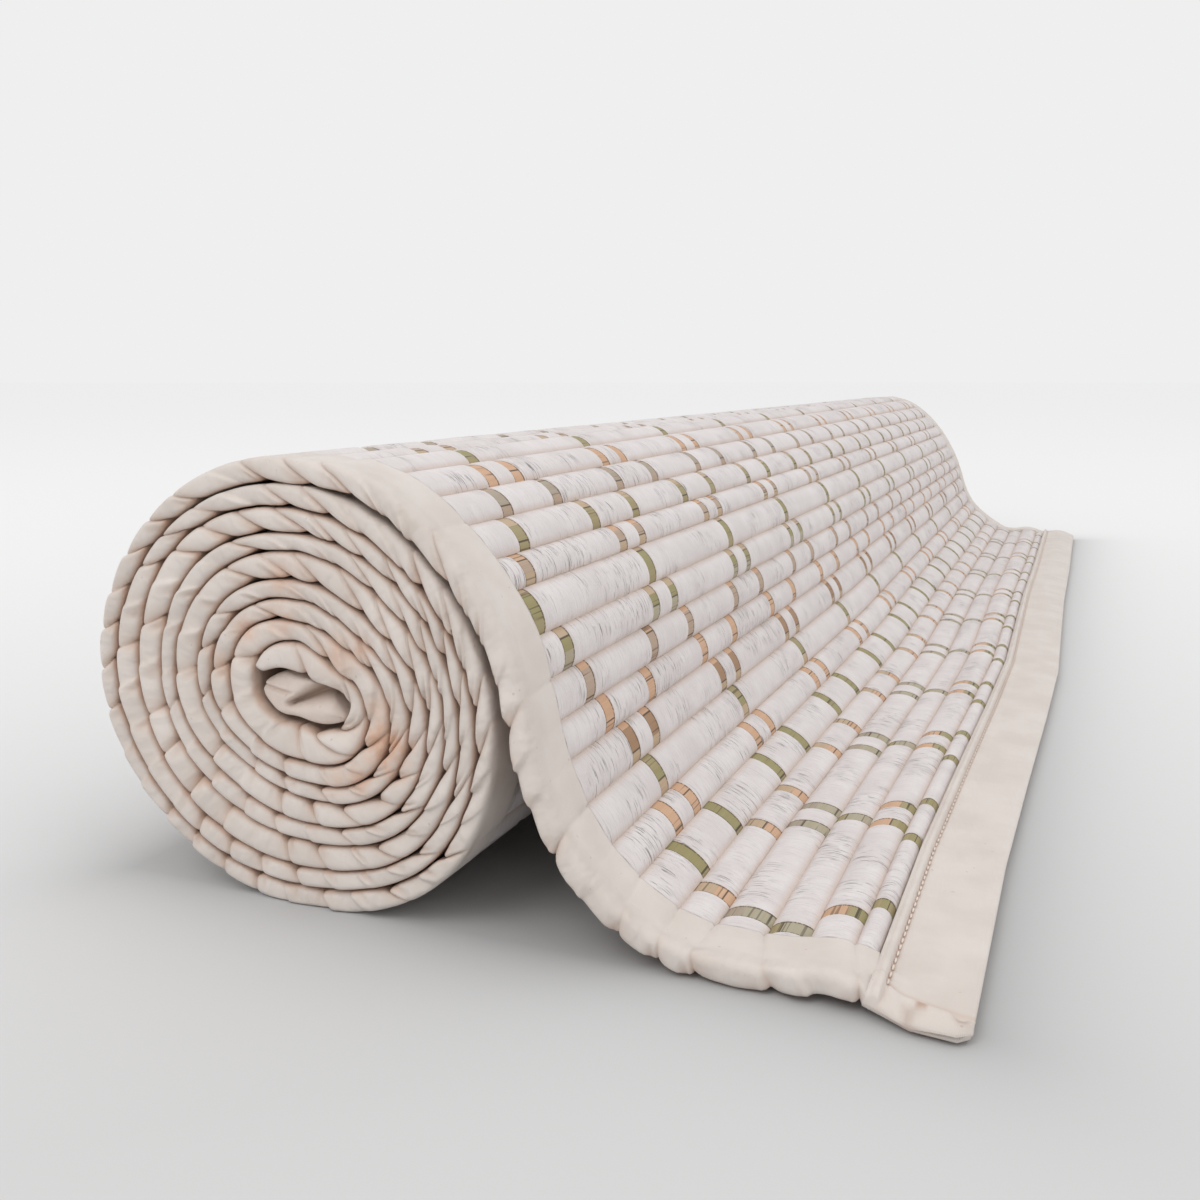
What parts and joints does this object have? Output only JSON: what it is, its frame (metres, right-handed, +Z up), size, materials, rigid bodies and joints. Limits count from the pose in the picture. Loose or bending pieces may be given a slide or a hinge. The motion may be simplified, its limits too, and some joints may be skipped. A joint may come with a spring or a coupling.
{
  "type": "rolled mat",
  "caption": "Ribbed cotton and reed floor mat with bound edges, wound into a roll with its outer end lying flat beside it.",
  "frame": {"origin": "on the surface that the mat rests on, under the middle of the whole mat's box", "axes": "+Z up, +Y along the roll from its near end to its far end, +X across it towards the loose end"},
  "size_m": [0.2174, 0.768, 0.1073],
  "materials": {
    "woven_cotton_and_reed": "matte",
    "cotton_binding": "matte"
  },
  "bodies": {
    "root": {"woven_mat": "woven_cotton_and_reed", "side_binding_near": "cotton_binding", "side_binding_far": "cotton_binding", "end_binding_outer": "cotton_binding", "end_binding_inner": "cotton_binding"}
  },
  "joints": []
}
